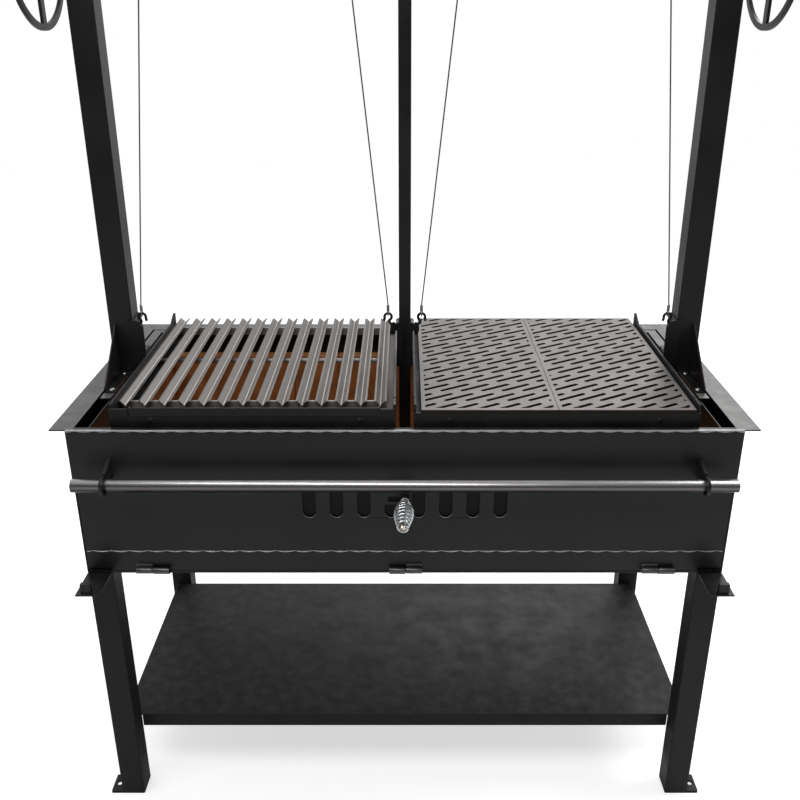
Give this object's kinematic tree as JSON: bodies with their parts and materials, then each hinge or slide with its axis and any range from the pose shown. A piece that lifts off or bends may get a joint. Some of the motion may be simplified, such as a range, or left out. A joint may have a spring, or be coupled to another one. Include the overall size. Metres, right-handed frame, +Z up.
{
  "type": "charcoal grill",
  "caption": "Free-standing charcoal and wood grill with a V-bar grate and slotted plates, each raised by its own hand winch over a brick-lined firebox.",
  "frame": {"origin": "on the floor, below the middle of the grill's box", "axes": "+X to the cook's right, -Y towards the cook, +Z up"},
  "size_m": [1.58, 0.76, 1.891],
  "materials": {
    "black_paint": "semi-gloss black powder coat",
    "well_steel": "dark oiled steel",
    "firebrick": "fired clay, matte",
    "bearing_bronze": "machined bronze",
    "bar_steel": "clear-coated bare steel",
    "cooking_steel": "bare mill steel, oiled",
    "tray_steel": "bare sheet steel",
    "bright_zinc": "zinc plated",
    "chrome": "bright chrome",
    "grip_wood": "oiled hardwood"
  },
  "bodies": {
    "root": {"firebox_floor": "well_steel", "firebox_back_wall": "well_steel", "firebox_side_walls": "well_steel", "floor_bricks": "firebrick", "back_bricks": "firebrick", "left_bricks": "firebrick", "right_bricks": "firebrick", "left_jacket": "black_paint", "right_jacket": "black_paint", "rear_jacket": "black_paint", "front_apron": "black_paint", "door_jambs": "black_paint", "inner_rim": "black_paint", "left_post": "black_paint", "right_post": "black_paint", "centre_post": "black_paint", "post_gussets": "black_paint", "top_tie_bar": "black_paint", "shaft_bearings": "bearing_bronze", "front_bar": "bar_steel", "front_bar_brackets": "black_paint", "door_rests": "black_paint", "legs": "black_paint", "lower_shelf": "black_paint", "hinge_fixed_halves": "bar_steel", "body_bolts": "bright_zinc", "left_cables": "bright_zinc", "right_cables": "bright_zinc"},
    "door": {"door_panel": "black_paint", "hinge_moving_halves": "bar_steel"},
    "damper": {"damper_plate": "well_steel", "spring_handle": "chrome", "handle_nut": "chrome"},
    "left_lift": {"left_outer_rail": "black_paint", "left_inner_rail": "black_paint", "left_cross_bars": "black_paint", "left_guides": "black_paint", "left_hooks": "well_steel", "v_bars": "cooking_steel", "v_supports": "cooking_steel"},
    "tray": {"drip_tray": "tray_steel"},
    "right_lift": {"right_outer_rail": "black_paint", "right_inner_rail": "black_paint", "right_cross_bars": "black_paint", "right_guides": "black_paint", "right_hooks": "well_steel", "inner_slotted_plate": "cooking_steel", "outer_slotted_plate": "cooking_steel"},
    "left_winch": {"left_shaft": "bar_steel", "left_drums": "well_steel", "left_ratchet": "well_steel", "left_handwheel": "black_paint"},
    "right_winch": {"right_shaft": "bar_steel", "right_drums": "well_steel", "right_ratchet": "well_steel", "right_handwheel": "black_paint"},
    "left_crank_grip": {"left_grip": "grip_wood"},
    "right_crank_grip": {"right_grip": "grip_wood"},
    "left_pawl": {"left_pawl": "well_steel"},
    "right_pawl": {"right_pawl": "well_steel"}
  },
  "joints": [
    {"name": "left_lift_slide", "type": "slide", "parent": "root", "child": "left_lift", "axis": [0, 0, 1], "range_m": [0, 0.4], "deforming": ["left_cables"]},
    {"name": "right_lift_slide", "type": "slide", "parent": "root", "child": "right_lift", "axis": [0, 0, 1], "range_m": [0, 0.4], "deforming": ["right_cables"]},
    {"name": "left_winch_turn", "type": "hinge", "parent": "root", "child": "left_winch", "pos_m": [-0.6, 0.065, 1.745], "axis": [-1, 0, 0], "range_deg": [0, 1081]},
    {"name": "right_winch_turn", "type": "hinge", "parent": "root", "child": "right_winch", "pos_m": [0.6, 0.065, 1.745], "axis": [-1, 0, 0], "range_deg": [0, 1081]},
    {"name": "left_grip_spin", "type": "hinge", "parent": "left_winch", "child": "left_crank_grip", "pos_m": [-0.74, 0.065, 1.867], "axis": [1, 0, 0], "continuous": true},
    {"name": "right_grip_spin", "type": "hinge", "parent": "right_winch", "child": "right_crank_grip", "pos_m": [0.74, 0.065, 1.867], "axis": [1, 0, 0], "continuous": true},
    {"name": "left_pawl_tilt", "type": "hinge", "parent": "root", "child": "left_pawl", "pos_m": [-0.648, 0.065, 1.68], "axis": [1, 0, 0], "range_deg": [0, 45]},
    {"name": "right_pawl_tilt", "type": "hinge", "parent": "root", "child": "right_pawl", "pos_m": [0.648, 0.065, 1.68], "axis": [1, 0, 0], "range_deg": [0, 45]},
    {"name": "door_hinge", "type": "hinge", "parent": "root", "child": "door", "pos_m": [0, -0.273, 0.603], "axis": [1, 0, 0], "range_deg": [0, 90]},
    {"name": "damper_slide", "type": "slide", "parent": "door", "child": "damper", "axis": [-1, 0, 0], "range_m": [0, 0.0266]},
    {"name": "tray_lift_off", "type": "slide", "parent": "left_lift", "child": "tray", "axis": [0, 0, 1], "range_m": [0, 0.08]}
  ],
  "couplings": [
    {"joint": "left_winch_turn", "follows": "left_lift_slide", "rad_per_m": 47.125},
    {"joint": "right_winch_turn", "follows": "right_lift_slide", "rad_per_m": 47.125}
  ]
}
